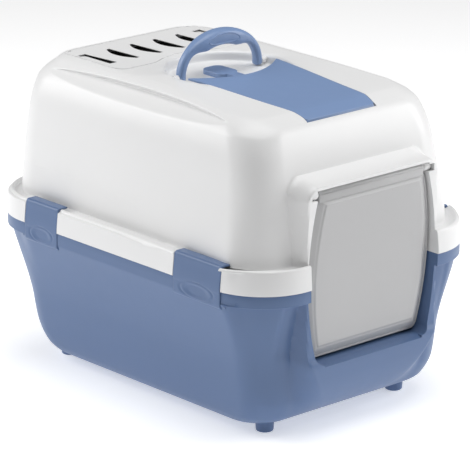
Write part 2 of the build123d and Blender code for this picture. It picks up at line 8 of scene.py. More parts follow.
import bmesh
import bpy
import numpy as np
from mathutils import Matrix, Vector


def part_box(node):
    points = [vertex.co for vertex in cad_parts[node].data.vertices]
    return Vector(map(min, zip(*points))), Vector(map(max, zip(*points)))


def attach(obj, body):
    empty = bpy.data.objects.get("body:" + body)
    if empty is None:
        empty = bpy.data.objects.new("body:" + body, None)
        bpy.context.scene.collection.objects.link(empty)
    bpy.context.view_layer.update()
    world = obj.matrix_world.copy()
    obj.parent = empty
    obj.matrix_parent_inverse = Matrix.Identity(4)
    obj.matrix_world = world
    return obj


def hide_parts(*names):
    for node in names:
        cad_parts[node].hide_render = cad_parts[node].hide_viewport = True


bl_info = {
    "name": "Hooded litter box",
    "version": (1, 0, 0),
    "blender": (4, 5, 0),
    "location": "3D View > Sidebar > Litter box",
    "description": "Builds the moulded pieces of a hooded cat litter box round its frame",
    "category": "Add Mesh",
}

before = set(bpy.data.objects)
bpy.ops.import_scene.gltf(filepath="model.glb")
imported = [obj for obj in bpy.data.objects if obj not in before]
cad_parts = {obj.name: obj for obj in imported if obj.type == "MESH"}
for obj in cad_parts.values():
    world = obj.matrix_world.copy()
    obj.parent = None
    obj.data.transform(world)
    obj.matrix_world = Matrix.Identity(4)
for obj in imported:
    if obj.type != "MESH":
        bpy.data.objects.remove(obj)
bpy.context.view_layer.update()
MM = 0.001


def node_box(name):
    """A frame node's lowest and highest corners, in millimetres."""
    low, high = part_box(name)
    return np.array(low) / MM, np.array(high) / MM


hood_low, hood_high = node_box("hood")
tray_low, tray_high = node_box("tray")
door_low, door_high = node_box("door_panel")
rod_low, rod_high = node_box("door_hinge_rod")
lid_low, lid_high = node_box("scoop_lid")
cover_low, cover_high = node_box("filter_cover")
handle_low, handle_high = node_box("carry_handle")
scoop_low, scoop_high = node_box("scoop")

HALF_WIDTH = hood_high[0]
FRONT = hood_low[1]
BACK = hood_high[1]
ROOF = hood_high[2]
RIM = tray_high[2]
BASE = tray_low[2]
BAND_FOOT = RIM + 0.3
BAND_TOP = BAND_FOOT + 35.0
BAND_CORNER = 93.0

# Height, then how far in from the band at the sides, front and back, then the plan corner radius.
HOOD_WALL = np.array([
    (BAND_TOP, 25, 28, 22, 60), (350, 34, 42, 29, 57), (400, 40, 53, 34, 56), (430, 48, 66, 40, 56),
    (442, 57, 76, 46, 56), (451, 70, 92, 53, 54), (457, 81, 106, 58, 48), (ROOF, 94, 124, 66, 42),
])
TRAY_WALL = np.array([
    (BASE, 70, 84, 84, 44), (18, 61, 64, 70, 46), (30, 53, 47, 57, 48), (60, 44, 34, 45, 51),
    (112, 35, 31, 38, 55), (RIM - 40, 18, 18, 20, 60), (RIM - 18, 12, 14, 14, 66),
])
# The roof's height along the box: flat at the back, falling to the door end, then rolling down.
ROOF_LINE = np.array([
    (-300, 395), (-250, 424), (-232, 437.5), (-223, 442.6), (-211, 447.6), (-198, 451), (-150, 453.3),
    (-20, 459.6), (0, ROOF), (300, ROOF),
])


# ---------------------------------------------------------------- curves and surfaces
def eased(knots, at):
    """Smooth curve through knots, first column the place and the rest the values: a cubic in each
    gap, whose slope at a knot is the harmonic mean of the slopes on its two sides."""
    knots = np.asarray(knots, float)
    place, value = knots[:, 0], knots[:, 1:]
    gap = np.diff(place)[:, None]
    slope = np.diff(value, axis=0) / gap
    before, after = slope[:-1], slope[1:]
    same_way = before * after > 0
    total = np.where(same_way, before + after, 1.0)
    middle = np.where(same_way, 2 * before * after / total, 0.0)
    knot_slope = np.vstack([slope[:1], middle, slope[-1:]])
    at = np.clip(np.asarray(at, float), place[0], place[-1])
    k = np.clip(np.searchsorted(place, at, side="right") - 1, 0, len(place) - 2)
    h = gap[k]
    t = ((at - place[k])[..., None]) / h
    curve = (value[k] * (2 * t**3 - 3 * t**2 + 1) + value[k + 1] * (3 * t**2 - 2 * t**3)
             + knot_slope[k] * h * (t**3 - 2 * t**2 + t) + knot_slope[k + 1] * h * (t**3 - t**2))
    return curve if curve.shape[-1] > 1 else curve[..., 0]


def step(start, end, at):
    """0 before start, 1 after end, with a smooth S between them."""
    t = np.clip((np.asarray(at, float) - start) / (end - start), 0, 1)
    return t * t * (3 - 2 * t)


def soft_min(a, b, width):
    """The lower of two values, rounded over a band where they are nearly equal."""
    h = np.clip(0.5 + 0.5 * (b - a) / width, 0, 1)
    return b * (1 - h) + a * h - width * h * (1 - h)


# How many columns each stretch of an outline has: back, rear corner, side, front corner, front...
COLUMN_COUNTS = (12, 20, 60, 48, 120, 48, 60, 20, 12)
RIGHT_ANGLE = math.pi / 2


def outline_shares():
    """Shares of the way round the band at which every ring has its columns."""
    straight = HALF_WIDTH - BAND_CORNER
    arc = BAND_CORNER * RIGHT_ANGLE
    side = BACK - FRONT - 2 * BAND_CORNER
    lengths = np.array([straight, arc, side, arc, 2 * straight, arc, side, arc, straight])
    ends = np.concatenate([[0], np.cumsum(lengths)]) / lengths.sum()
    runs = [np.linspace(a, b, n, endpoint=False) for a, b, n in zip(ends[:-1], ends[1:], COLUMN_COUNTS)]
    return np.concatenate(runs)


SHARES = outline_shares()
SMALLEST_CORNER = 4.0


def ring_points(half, front, back, corner):
    """Rounded rectangle walked from the middle of its back towards -X. Each straight run or arc adds
    the part of its own length already walked, so whole arrays of rings come out at once."""
    half, front, back, corner = (np.asarray(v, float).reshape(-1, 1) for v in (half, front, back, corner))
    arc = corner * RIGHT_ANGLE
    straight, side = half - corner, back - front - 2 * corner
    runs = (straight, arc, side, arc, 2 * straight, arc, side, arc, straight)
    walked = SHARES[None, :] * sum(runs)
    x = np.zeros(walked.shape)
    y = np.zeros(walked.shape) + back
    heading, start = math.pi, 0.0
    for number, length in enumerate(runs):
        t = np.clip(walked - start, 0, length)
        if number % 2:
            x = x + corner * (np.sin(heading + t / corner) - math.sin(heading))
            y = y - corner * (np.cos(heading + t / corner) - math.cos(heading))
            heading += RIGHT_ANGLE
        else:
            x = x + t * math.cos(heading)
            y = y + t * math.sin(heading)
        start = start + length
    return x, y


def wall_rings(levels, shrink=0.0):
    """Rings at rows of (height, side, front and back inset, corner), moved in by shrink."""
    height, side, front, back, corner = np.asarray(levels, float).T
    x, y = ring_points(HALF_WIDTH - side - shrink, FRONT + front + shrink, BACK - back - shrink,
                       np.maximum(corner - shrink, SMALLEST_CORNER))
    z = np.repeat(height[:, None], x.shape[1], axis=1)
    return np.stack([x, y, z], axis=-1)


def even_insets(rows):
    """Wall levels from rows of (height, inset), the inset alike on every side of the rim."""
    height, inset = np.asarray(rows, float).T
    return np.column_stack([height, inset, inset, inset, BAND_CORNER - inset])


def arc(x, z, radius, start, end, count):
    """Points (x, z) on a circle about a centre, from one angle to another."""
    turn = np.linspace(start, end, count)
    return np.column_stack([x + radius * np.cos(turn), z + radius * np.sin(turn)])


def with_heights(profile, heights):
    """Rows of a wall profile at the given heights, as (height, insets..., corner)."""
    return np.column_stack([heights, eased(profile, heights)])


# ---------------------------------------------------------------- meshes
def show(name, mesh):
    """An object at the origin that holds a mesh."""
    obj = bpy.data.objects.new(name, mesh)
    bpy.context.scene.collection.objects.link(obj)
    return obj


def new_mesh(name, points, faces):
    """A mesh object at the origin from points in millimetres."""
    mesh = bpy.data.meshes.new(name)
    mesh.from_pydata((np.asarray(points).reshape(-1, 3) * MM).tolist(), [], faces)
    mesh.validate()
    return show(name, mesh)


def quads(rows, columns, wrap=False):
    """Quads of a grid numbered row by row; wrap joins the last column to the first."""
    r, c = np.meshgrid(np.arange(rows - 1), np.arange(columns if wrap else columns - 1), indexing="ij")
    n = (c + 1) % columns
    return np.stack([r * columns + c, r * columns + n, (r + 1) * columns + n, (r + 1) * columns + c],
                    axis=-1).reshape(-1, 4)


def skin(name, rings, flat_ends=False):
    """Closed skin over rings of points. Each end is closed by a fan to the ring's middle, or by one
    flat face where the ring is not convex."""
    rows, columns = rings.shape[:2]
    faces = quads(rows, columns, wrap=True).tolist()
    if flat_ends:
        faces += [list(range(columns))[::-1], list(range((rows - 1) * columns, rows * columns))]
        return new_mesh(name, rings, faces)
    points = np.vstack([rings.reshape(-1, 3), rings[0].mean(0), rings[-1].mean(0)])
    first, last = rows * columns, rows * columns + 1
    j = np.arange(columns)
    n = (j + 1) % columns
    base = (rows - 1) * columns
    faces += np.column_stack([n, j, np.full(columns, first)]).tolist()
    faces += np.column_stack([base + j, base + n, np.full(columns, last)]).tolist()
    return new_mesh(name, points, faces)


def slab(name, top, bottom):
    """Closed solid between two grids of the same size, joined round their border."""
    rows, columns = top.shape[:2]
    points = np.vstack([top.reshape(-1, 3), bottom.reshape(-1, 3)])
    upper = quads(rows, columns)
    lower = upper[:, ::-1] + rows * columns
    index = np.arange(rows * columns).reshape(rows, columns)
    border = np.concatenate([index[0, :-1], index[:-1, -1], index[-1, :0:-1], index[:0:-1, 0]])
    after = np.roll(border, -1)
    rim = np.column_stack([after, border, border + rows * columns, after + rows * columns])
    return new_mesh(name, points, np.vstack([upper, lower, rim]).tolist())


def box_solid(name, low, high):
    """Plain box between two corners, for cutting."""
    x, y = np.meshgrid([low[0], high[0]], [low[1], high[1]])
    top = np.stack([x, y, np.full_like(x, high[2], dtype=float)], axis=-1).astype(float)
    bottom = top.copy()
    bottom[..., 2] = low[2]
    return slab(name, top, bottom)


def prism_along_y(name, loop, y0, y1):
    """Closed outline in the XZ plane, as points (x, z), carried along Y."""
    loop = np.asarray(loop, float)
    rings = np.array([np.column_stack([loop[:, 0], np.full(len(loop), y), loop[:, 1]]) for y in (y0, y1)])
    return skin(name, rings, flat_ends=True)


def rod(name, start, end, radius, axis=0, sides=40):
    """Round bar along X (axis 0) or Y (axis 1) with rounded ends: circles whose radius follows a
    quarter circle near each end."""
    length = abs(end[axis] - start[axis])
    ease = min(radius * 0.3, length / 4)
    bend = np.linspace(0, RIGHT_ANGLE, 5)
    along = np.concatenate([ease * (1 - np.cos(bend)), length - ease * (1 - np.cos(bend[::-1]))])
    size = np.concatenate([radius - ease * (1 - np.sin(bend)), radius - ease * (1 - np.sin(bend[::-1]))])
    turn = np.linspace(0, 2 * math.pi, sides, endpoint=False)
    place = min(start[axis], end[axis]) + along
    wide = size[:, None] * np.cos(turn)
    tall = size[:, None] * np.sin(turn)
    run = np.repeat(place[:, None], sides, axis=1)
    if axis == 0:
        rings = np.stack([run, start[1] + wide, start[2] + tall], axis=-1)
    else:
        rings = np.stack([start[0] - wide, run, start[2] + tall], axis=-1)
    return skin(name, rings)


def face_out(obj):
    """Turns a closed mesh right side out where its volume comes out negative."""
    mesh = obj.data
    mesh.calc_loop_triangles()
    corners = np.empty(len(mesh.loop_triangles) * 3, np.int32)
    mesh.loop_triangles.foreach_get("vertices", corners)
    points = np.empty(len(mesh.vertices) * 3, np.float32)
    mesh.vertices.foreach_get("co", points)
    a, b, c = (points.reshape(-1, 3)[corners.reshape(-1, 3)[:, k]] for k in range(3))
    if np.einsum("ij,ij->i", a, np.cross(b, c)).sum() < 0:
        mesh.flip_normals()
    return obj


def apply_modifiers(obj):
    """Keeps the result of the modifiers as the object's own mesh."""
    graph = bpy.context.evaluated_depsgraph_get()
    made = bpy.data.meshes.new_from_object(obj.evaluated_get(graph))
    obj.modifiers.clear()
    old, name = obj.data, obj.data.name
    obj.data = made
    bpy.data.meshes.remove(old)
    made.name = name
    return obj


def carve(obj, cutters):
    """Takes the cutters' solids out of obj."""
    face_out(obj)
    for cutter in cutters:
        face_out(cutter)
        cut = obj.modifiers.new("cut", "BOOLEAN")
        cut.operation = "DIFFERENCE"
        cut.solver = "MANIFOLD"
        cut.object = cutter
        apply_modifiers(obj)
        bpy.data.objects.remove(cutter)
    return obj


def round_edges(obj, width, segments=2, angle=math.radians(35)):
    """Rounds the sharp edges."""
    bevel = obj.modifiers.new("round", "BEVEL")
    bevel.width = width * MM
    bevel.segments = segments
    bevel.limit_method = "ANGLE"
    bevel.angle_limit = angle
    return apply_modifiers(obj)


def join(name, objects):
    """One object from several closed ones, their meshes put one after the other."""
    joined = bmesh.new()
    for obj in objects:
        joined.from_mesh(obj.data)
        bpy.data.objects.remove(obj)
    mesh = bpy.data.meshes.new(name)
    joined.to_mesh(mesh)
    joined.free()
    return show(name, mesh)


def finish_piece(obj, body, material, nodes=(), sharp=32.0):
    """Smooth shading with crisp edges, material, body, and the nodes it stands for."""
    face_out(obj)
    obj.data.shade_smooth()
    obj.data.set_sharp_from_angle(angle=math.radians(sharp))
    obj.data.materials.clear()
    obj.data.materials.append(material)
    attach(obj, body)
    if nodes:
        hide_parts(*nodes)
    return obj


def keep_node(node, material):
    """A frame node whose shape is right gets its finish only."""
    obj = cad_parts[node]
    obj.data.materials.clear()
    obj.data.materials.append(material)


# ---------------------------------------------------------------- materials
def plastic(name, colour, tint, roughness, grain=0.02, pitch=1400.0, tangle=0.0, depth=0.0002):
    """Moulded plastic: a slow drift between two near colours, uneven gloss, and a fine skin of mould
    texture, whose noise has a scale (pitch), a distortion (tangle) and a depth in metres."""
    material = bpy.data.materials.get(name)
    if material:
        return material
    material = bpy.data.materials.new(name)
    material.use_nodes = True
    nodes, links = material.node_tree.nodes, material.node_tree.links
    shader = nodes["Principled BSDF"]
    place = nodes.new("ShaderNodeTexCoord")
    drift = nodes.new("ShaderNodeTexNoise")
    drift.inputs["Scale"].default_value = 9.0
    drift.inputs["Detail"].default_value = 3.0
    mix = nodes.new("ShaderNodeMix")
    mix.data_type = "RGBA"
    mix.inputs[6].default_value = (*colour, 1)
    mix.inputs[7].default_value = (*tint, 1)
    gloss = nodes.new("ShaderNodeTexNoise")
    gloss.inputs["Scale"].default_value = 60.0
    gloss.inputs["Detail"].default_value = 4.0
    spread = nodes.new("ShaderNodeMapRange")
    spread.inputs["To Min"].default_value = roughness - 0.05
    spread.inputs["To Max"].default_value = roughness + 0.06
    mould = nodes.new("ShaderNodeTexNoise")
    mould.inputs["Scale"].default_value = pitch
    mould.inputs["Detail"].default_value = 2.0
    mould.inputs["Distortion"].default_value = tangle
    bump = nodes.new("ShaderNodeBump")
    bump.inputs["Strength"].default_value = grain
    bump.inputs["Distance"].default_value = depth
    for texture in (drift, gloss, mould):
        links.new(place.outputs["Object"], texture.inputs["Vector"])
    links.new(drift.outputs["Fac"], mix.inputs[0])
    links.new(mix.outputs[2], shader.inputs["Base Color"])
    links.new(gloss.outputs["Fac"], spread.inputs["Value"])
    links.new(spread.outputs["Result"], shader.inputs["Roughness"])
    links.new(mould.outputs["Fac"], bump.inputs["Height"])
    links.new(bump.outputs["Normal"], shader.inputs["Normal"])
    shader.inputs["IOR"].default_value = 1.49
    return material


def colours():
    """The colours that the sidebar holds."""
    return bpy.context.scene.litter_box_colours


def sizes():
    """The sizes that the sidebar holds, in metres."""
    return bpy.context.scene.litter_box_sizes


def blue():
    """Tray, feet and latches: satin."""
    c = colours()
    return plastic("moulded_blue", c.tray, [v * 0.94 for v in c.tray], 0.38, 0.05)


def light_blue():
    """Carry handle, lid and scoop: a little glossier and paler."""
    c = colours()
    return plastic("moulded_light_blue", c.handle, [v * 0.95 for v in c.handle], 0.34, 0.03)


def white():
    """Hood, filter cover and hinge pieces."""
    c = colours()
    return plastic("moulded_white", c.hood, [v * 0.975 for v in c.hood], 0.32, 0.02)


def smoke():
    """The door's grey."""
    c = colours()
    return plastic("moulded_smoke", c.door, [v * 0.95 for v in c.door], 0.3, 0.03)


def charcoal():
    """Carbon felt: a coarse tangled skin, fully rough."""
    c = colours()
    return plastic("fibre_charcoal", c.felt, [v * 0.5 for v in c.felt], 0.9, 0.6, 420.0, 2.0, 0.001)


# ---------------------------------------------------------------- shared shapes
SLEEVE_RISE = 7.0
DOOR_MID = (door_low[2] + door_high[2] - SLEEVE_RISE) / 2
DOOR_TOP = door_high[2] - SLEEVE_RISE
DOOR_FOOT = door_low[2]
DOOR_HALF = door_high[0]
DOOR_BOW = 16.0
FRAME_HALF = 128.0
FRAME_TOP = 371.0
FRAME_FRONT = -292.0
FRAME_CORNER = 24.0
SILL = 112.0
SILL_CORNER = 11.0
SKIRT = RIM - 18
ROD_Y, ROD_Z = -282.0, 356.0
LID_PIN_Y, LID_PIN_Z = -219.0, 438.5
COVER_PIN_Y, COVER_PIN_Z = 226.0, 457.0


def door_half(z):
    """Half width of the door at a height: a shallow arc, widest at its middle."""
    across = (z - DOOR_MID) / (DOOR_TOP - DOOR_MID)
    return DOOR_HALF - DOOR_BOW * across**2


def way_in(low, high):
    """Solid of the opening, following the door's bowed sides, between two heights."""
    z = low + (high - low) * np.linspace(0, 1, 60) ** 1.6
    half = np.where(z > DOOR_TOP, DOOR_HALF - DOOR_BOW, door_half(np.minimum(z, DOOR_TOP)))
    half = half + sizes().door_gap / MM
    past = np.clip(1 - (z - SILL) / SILL_CORNER, 0, 1) if low <= SILL else np.zeros(z.shape)
    half = half - SILL_CORNER * (1 - np.sqrt(1 - past**2))
    x = np.linspace(-1, 1, 3)[None, :] * half[:, None]
    near = np.stack([x, np.full_like(x, FRONT - 20), np.repeat(z[:, None], 3, axis=1)], axis=-1)
    far = near.copy()
    far[..., 1] = FRONT + 85
    return slab("way_in", near, far)


def latch_places():
    """(name, side, middle along the box, half width) of each latch, from the frame."""
    for end in ("front", "rear"):
        for side_name, side in (("left", -1), ("right", 1)):
            low, high = node_box(f"latch_{end}_{side_name}")
            yield f"latch_{end}_{side_name}", side, (low[1] + high[1]) / 2, (high[1] - low[1]) / 2


PIVOT_X = HALF_WIDTH - 5.5
PIVOT_Z = 207.0
LATCH_FOOT = 5.5


# ---------------------------------------------------------------- tray
def tray_front(x, y, z):
    """Pushes the front wall out to the step and the posts beside the door. The posts have a crisp
    side with a shallow groove next to them; the step below swells out and rounds away."""
    target = eased([(BASE, -216), (30, -256), (60, -283), (90, -295.5), (SILL, -299), (126, -294),
                    (227, -292)], z)
    fade_start = eased([(BASE, 30), (30, 56), (60, 84), (90, 106), (125, 124), (227, 127)], z)
    fade_end = eased([(BASE, 108), (30, 118), (60, 128), (90, 134), (125, 135), (227, 133)], z)
    across = np.abs(x)
    share = 1 - step(0, 1, (across - fade_start) / (fade_end - fade_start))
    groove = (step(130, 135, across) * (1 - step(156, 166, across)) * step(118, 140, z)
              * (1 - step(RIM - 24, RIM - 19, z)))
    pushed = y + (np.minimum(y, target) - y) * share + 2.4 * groove
    return np.where(y < -180, pushed, y)


def flush(x, y):
    """Share, along the long walls, of the stretch where the wall comes out flush with the rim."""
    return step(-252, -222, y) * (1 - step(196, 232, y)) * step(150, 200, np.abs(x))


def tray_sides(x, y, z):
    """Brings the long walls out flush with the rim between the outer ends of the latches."""
    lift = np.clip((z - SILL) / (SKIRT - SILL), 0, 1) ** 1.4
    return x + np.sign(x) * 10.5 * lift * flush(x, y)


def build_tray():
    """Tray: rings of the tapered wall, the turned-down rim and the inner wall in one closed skin, with
    the way in and the latch seats cut out."""
    low = np.concatenate([BASE + 6 * (1 - np.cos(np.linspace(0.25, RIGHT_ANGLE, 6))),
                          np.linspace(20, 60, 16), np.linspace(64, SKIRT, 44)])
    outer = wall_rings(with_heights(TRAY_WALL, low))
    x, y, z = outer[..., 0].copy(), outer[..., 1].copy(), outer[..., 2]
    outer[..., 1] = tray_front(x, y, z)
    outer[..., 0] = tray_sides(x, y, z)
    base = outer[:1].copy()
    base[..., :2] *= 0.97
    base[..., 2] = BASE
    edge = wall_rings(even_insets([
        (SKIRT, 4.0), (SKIRT, 2.4), (SKIRT + 0.6, 1.6), (SKIRT + 2, 1.5), (SKIRT + 9, 1.5),
        (RIM - 2, 1.5), (RIM - 0.6, 1.8), (RIM, 3.0), (RIM, 8.0)]))
    ex, ey, ez = edge[..., 0].copy(), edge[..., 1].copy(), edge[..., 2]
    edge[..., 1] = tray_front(ex, ey, ez)
    to_face = np.maximum(HALF_WIDTH - 1.5 - np.abs(ex[:3]), 0)
    edge[:3, :, 0] += np.sign(ex[:3]) * to_face * flush(ex[:3], ey[:3])
    inner_heights = np.concatenate([[RIM - 0.01], np.linspace(RIM - 3, 60, 14), np.linspace(50, BASE + 8, 6)])
    wall = sizes().wall / MM
    inner = wall_rings(with_heights(TRAY_WALL, inner_heights), shrink=wall)
    inner[0, :, 2] = RIM
    near = (inner[..., 1] < -200) * (1 - step(133, 146, np.abs(inner[..., 0])))
    inner[..., 1] += (np.maximum(inner[..., 1], -264) - inner[..., 1]) * near
    floor = inner[-1:].copy()
    floor[..., :2] *= 0.96
    floor[..., 2] = BASE + wall
    tray = skin("tray_shell", np.concatenate([base, outer, edge, inner, floor]))
    x, y = np.meshgrid([-95.0, 95.0], [-306.0, -290.0])
    ease = np.stack([x, y, np.full(x.shape, SILL + 4)], -1)
    ease_foot = np.stack([x, y, np.where(y < -300, SILL - 6.0, SILL + 0.1)], -1)
    cutters = [way_in(SILL, RIM + 20), slab("sill_ease", ease, ease_foot)]
    clear = 0.3
    for _, side, middle, half in latch_places():
        loop = np.vstack([arc(PIVOT_X, PIVOT_Z, LATCH_FOOT + clear, math.pi, 2 * math.pi, 14),
                          [(HALF_WIDTH + 8, PIVOT_Z), (HALF_WIDTH + 8, RIM + 5),
                           (PIVOT_X - LATCH_FOOT - 0.8, RIM + 5)]])
        cutters.append(prism_along_y("seat", loop * (side, 1), middle - half - 2 * clear,
                                     middle + half + 2 * clear))
    carve(tray, cutters)
    finish_piece(tray, "base", blue(), ["tray"])


def build_feet():
    """Feet: short studs with a rounded foot, a little wider where they meet the tray."""
    for end in ("front", "rear"):
        for side in ("left", "right"):
            node = f"foot_{end}_{side}"
            low, high = node_box(node)
            middle, radius = (low + high) / 2, (high[0] - low[0]) / 2
            height = np.array([0, 0, 0.8, 2.2, 6, 11, 14, 20])
            size = radius * np.array([0.5, 0.86, 0.95, 0.985, 1.0, 1.02, 1.08, 1.08])
            turn = np.linspace(0, 2 * math.pi, 48, endpoint=False)
            x = middle[0] + size[:, None] * np.cos(turn)
            y = middle[1] + size[:, None] * np.sin(turn)
            rings = np.stack([x, y, np.repeat(height[:, None], 48, axis=1)], axis=-1)
            foot = skin(node + "_stud", rings)
            finish_piece(foot, "base", blue(), [node])


# ---------------------------------------------------------------- latches
def build_latch(name, side, middle, half):
    """Latch: an outline in the XZ plane, round at the pivot, up the face and over the band, carried
    along Y with rounded ends. An oval finger dimple is pressed into its face."""
    plate, lip, reach, lean, shoulder, nose = 4.0, 3.0, 21.5, 3.0, 4.5, 1.5
    top, face = BAND_TOP + 1.6, HALF_WIDTH
    rise = np.linspace(PIVOT_Z + 1, top - 5, 40)
    loop = np.vstack([
        arc(PIVOT_X, PIVOT_Z, LATCH_FOOT, -math.pi, 0, 17),
        np.column_stack([face - lean * step(RIM, top, rise), rise]),
        arc(face - lean - shoulder, top - shoulder, shoulder, 0.1, RIGHT_ANGLE, 8),
        np.column_stack([np.linspace(face - 9, face - reach + nose, 5), np.full(5, top)]),
        arc(face - reach + nose, top - nose, nose, RIGHT_ANGLE, 3 * RIGHT_ANGLE, 7)[1:],
        [(face - 9, top - lip), (face - 7.6, top - lip - 1.4), (face - plate - 2.6, top - 14),
         (face - plate - 1, RIM + 6), (face - plate - 1.2, PIVOT_Z + 6)],
    ])
    count = 60
    bend = np.linspace(0, RIGHT_ANGLE, 5)
    ease = 1.2
    ends = ease * (1 - np.cos(bend))
    along = np.concatenate([-half + ends, np.linspace(-half + 3, half - 3, count), half - ends[::-1]])
    shrink = np.concatenate([ease * (1 - np.sin(bend)), np.zeros(count), ease * (1 - np.sin(bend[::-1]))])
    before, after = np.roll(loop, 1, axis=0), np.roll(loop, -1, axis=0)
    tangent = after - before
    normal = np.column_stack([tangent[:, 1], -tangent[:, 0]])
    normal /= np.linalg.norm(normal, axis=1)[:, None]
    rings = loop[None] - shrink[:, None, None] * normal[None] * 0.9
    x, z = rings[..., 0], rings[..., 1]
    y = np.repeat(along[:, None], len(loop), axis=1)
    # The oval is a groove round a shallow dish.
    off = np.sqrt((y / (half * 0.66)) ** 2 + ((z - 216.5) / 11.5) ** 2)
    on_face = step(face - 3.5, face - 2.5, x) * (z < RIM + 30)
    dish = 1.6 * (1 - step(0.5, 1.0, off)) + 0.9 * np.exp(-((off - 1.08) / 0.08) ** 2)
    x = x - dish * on_face
    # The face steps back slightly below the band.
    x = x - 0.5 * on_face * (1 - step(RIM - 3, RIM - 1.5, z))
    points = np.stack([side * x, middle + y, z], axis=-1)
    latch = skin(name + "_clip", points, flat_ends=True)
    finish_piece(latch, name + "_arm", blue(), [name], sharp=50)


def build_latches():
    """The four latches, and the finish of the pins they turn on."""
    for name, side, middle, half in latch_places():
        build_latch(name, side, middle, half)
        keep_node(name.replace("latch", "latch_pin", 1), blue())


# ---------------------------------------------------------------- hood
def roof(y):
    """The roof's height at a place along the box."""
    return eased(ROOF_LINE, y)


def hood_frame(x, y, z):
    """Pushes the front wall out to the raised frame round the door: full depth inside the frame's
    rounded outline, none outside it, with a steep S between."""
    dx = np.abs(x) - (FRAME_HALF - FRAME_CORNER)
    dz = z - (FRAME_TOP - FRAME_CORNER)
    beside = np.hypot(np.maximum(dx, 0), np.maximum(dz, 0))
    outside = beside + np.minimum(np.maximum(dx, dz), 0) - FRAME_CORNER
    share = 1 - step(-3.0, 7.5, outside)
    return np.where(y < -150, y + (np.minimum(y, FRAME_FRONT) - y) * share, y)


def waisted(x, y, z):
    """Lets the long walls swell towards the front corners near their foot."""
    swell = -3.5 + 10.5 * (np.clip(y - 60, -280, 0) / 275) ** 2
    share = (1 - step(BAND_TOP + 4, 350, z)) * step(120, 180, np.abs(x)) * (1 - step(-215, -262, y))
    return x + np.sign(x) * swell * share


def scallop(x, y, z):
    """Long finger groove along each upper edge, lens shaped along the box. It stands nearly upright
    under the roof's edge, then eases out to a crest below."""
    lens = np.clip(1 - ((y - 21) / 190) ** 2, 0, 1)
    top, foot = 445.5 + 10.0 * lens**0.7, 443.5 - 13.0 * lens**0.7
    t = np.clip((top - z) / (top - foot), 0, 1)
    dent = step(0, 0.34, t) * (1 - step(0.3, 1.0, t))
    return x - np.sign(x) * 14.0 * dent * lens**0.75 * (np.abs(x) > 100)


def build_hood():
    """Hood: rings of the inner wall, ceiling, band, ledge, outer wall and roof in one closed skin."""
    rise = np.linspace(BAND_FOOT + 5, BAND_TOP - 4.5, 8)
    turn = np.linspace(0, RIGHT_ANGLE, 7)[1:]
    crown = 4.2
    band_rows = even_insets(np.vstack([
        [(BAND_FOOT, 0.8), (BAND_FOOT + 0.5, 0.1), (BAND_FOOT + 1.2, 0.0)],
        np.column_stack([rise, 3.2 * ((rise - BAND_FOOT) / 35) ** 1.5]),
        np.column_stack([BAND_TOP - crown * (1 - np.sin(turn)), 2.6 + crown * (1 - np.cos(turn))]),
    ]))
    ledge_start, foot = band_rows[-1, 1:], HOOD_WALL[0, 1:]
    ledge_rows = [(BAND_TOP - dip, *(ledge_start + (foot - ledge_start) * s)) for s, dip in
                  ((0.08, 0.5), (0.2, 2.6), (0.38, 4.8), (0.62, 5.6), (0.85, 5.4), (0.96, 4.6))]
    ledge_rows += [(BAND_TOP - 3.4, *foot), (BAND_TOP, *(foot + (0.3, 0.3, 0.3, 0)))]
    wall_heights = np.concatenate([np.linspace(BAND_TOP + 3, 345, 30), np.linspace(347.5, 392, 20),
                                   np.linspace(395, 426, 14), np.linspace(427, 456.4, 50)])
    wall = with_heights(HOOD_WALL, wall_heights)
    shoulder_heights = np.array([457.2, 458.2, 459.0, 459.6])
    shoulder = with_heights(HOOD_WALL, shoulder_heights)
    top_side = np.array([94, 104, 116, 130, 146, 162, 178, 194, 208])
    grow = top_side - 94
    top_rows = np.column_stack([np.full(len(grow), ROOF), top_side, 124 + grow * 1.35, 66 + grow,
                                np.maximum(42 - grow * 0.35, 10)])
    outer = np.concatenate([wall_rings(band_rows), wall_rings(ledge_rows), wall_rings(wall),
                            wall_rings(shoulder), wall_rings(top_rows)])
    x, y, z = (outer[..., k].copy() for k in range(3))
    z = np.where(z > 400, soft_min(z, roof(y), 2.0), z)
    above = z > BAND_TOP - 4
    x = np.where(above, waisted(x, y, z), x)
    y = hood_frame(x, y, z)
    x = scallop(x, y, z)
    outer = np.stack([x, y, z], axis=-1)
    inner_heights = np.concatenate([np.linspace(405, 300, 10), [262, 240, BAND_FOOT]])
    inner = wall_rings(with_heights(np.vstack([[BAND_FOOT, *HOOD_WALL[0, 1:]], HOOD_WALL]), inner_heights),
                       shrink=sizes().wall / MM)
    ceiling_side = np.array([190, 160, 130, 100, 78, 62])
    ceiling = np.column_stack([np.full(6, 439.0), ceiling_side, ceiling_side * 1.3, ceiling_side,
                               np.linspace(25, 66, 6)])
    ceiling[-1, 0] = 426
    ceiling = wall_rings(ceiling)
    drop = ceiling[..., 2]
    well = (step(-215, -203, ceiling[..., 1]) * (1 - step(-46, -34, ceiling[..., 1]))
            * (1 - step(62, 74, np.abs(ceiling[..., 0]))))
    slope = np.minimum(drop, roof(ceiling[..., 1]) - 18)
    ceiling[..., 2] = slope + (411 - slope) * well
    hood = skin("hood_shell", np.concatenate([ceiling, inner, outer]))
    carve(hood, hood_cutters())
    finish_piece(hood, "hood_body", white(), ["hood"], sharp=40)


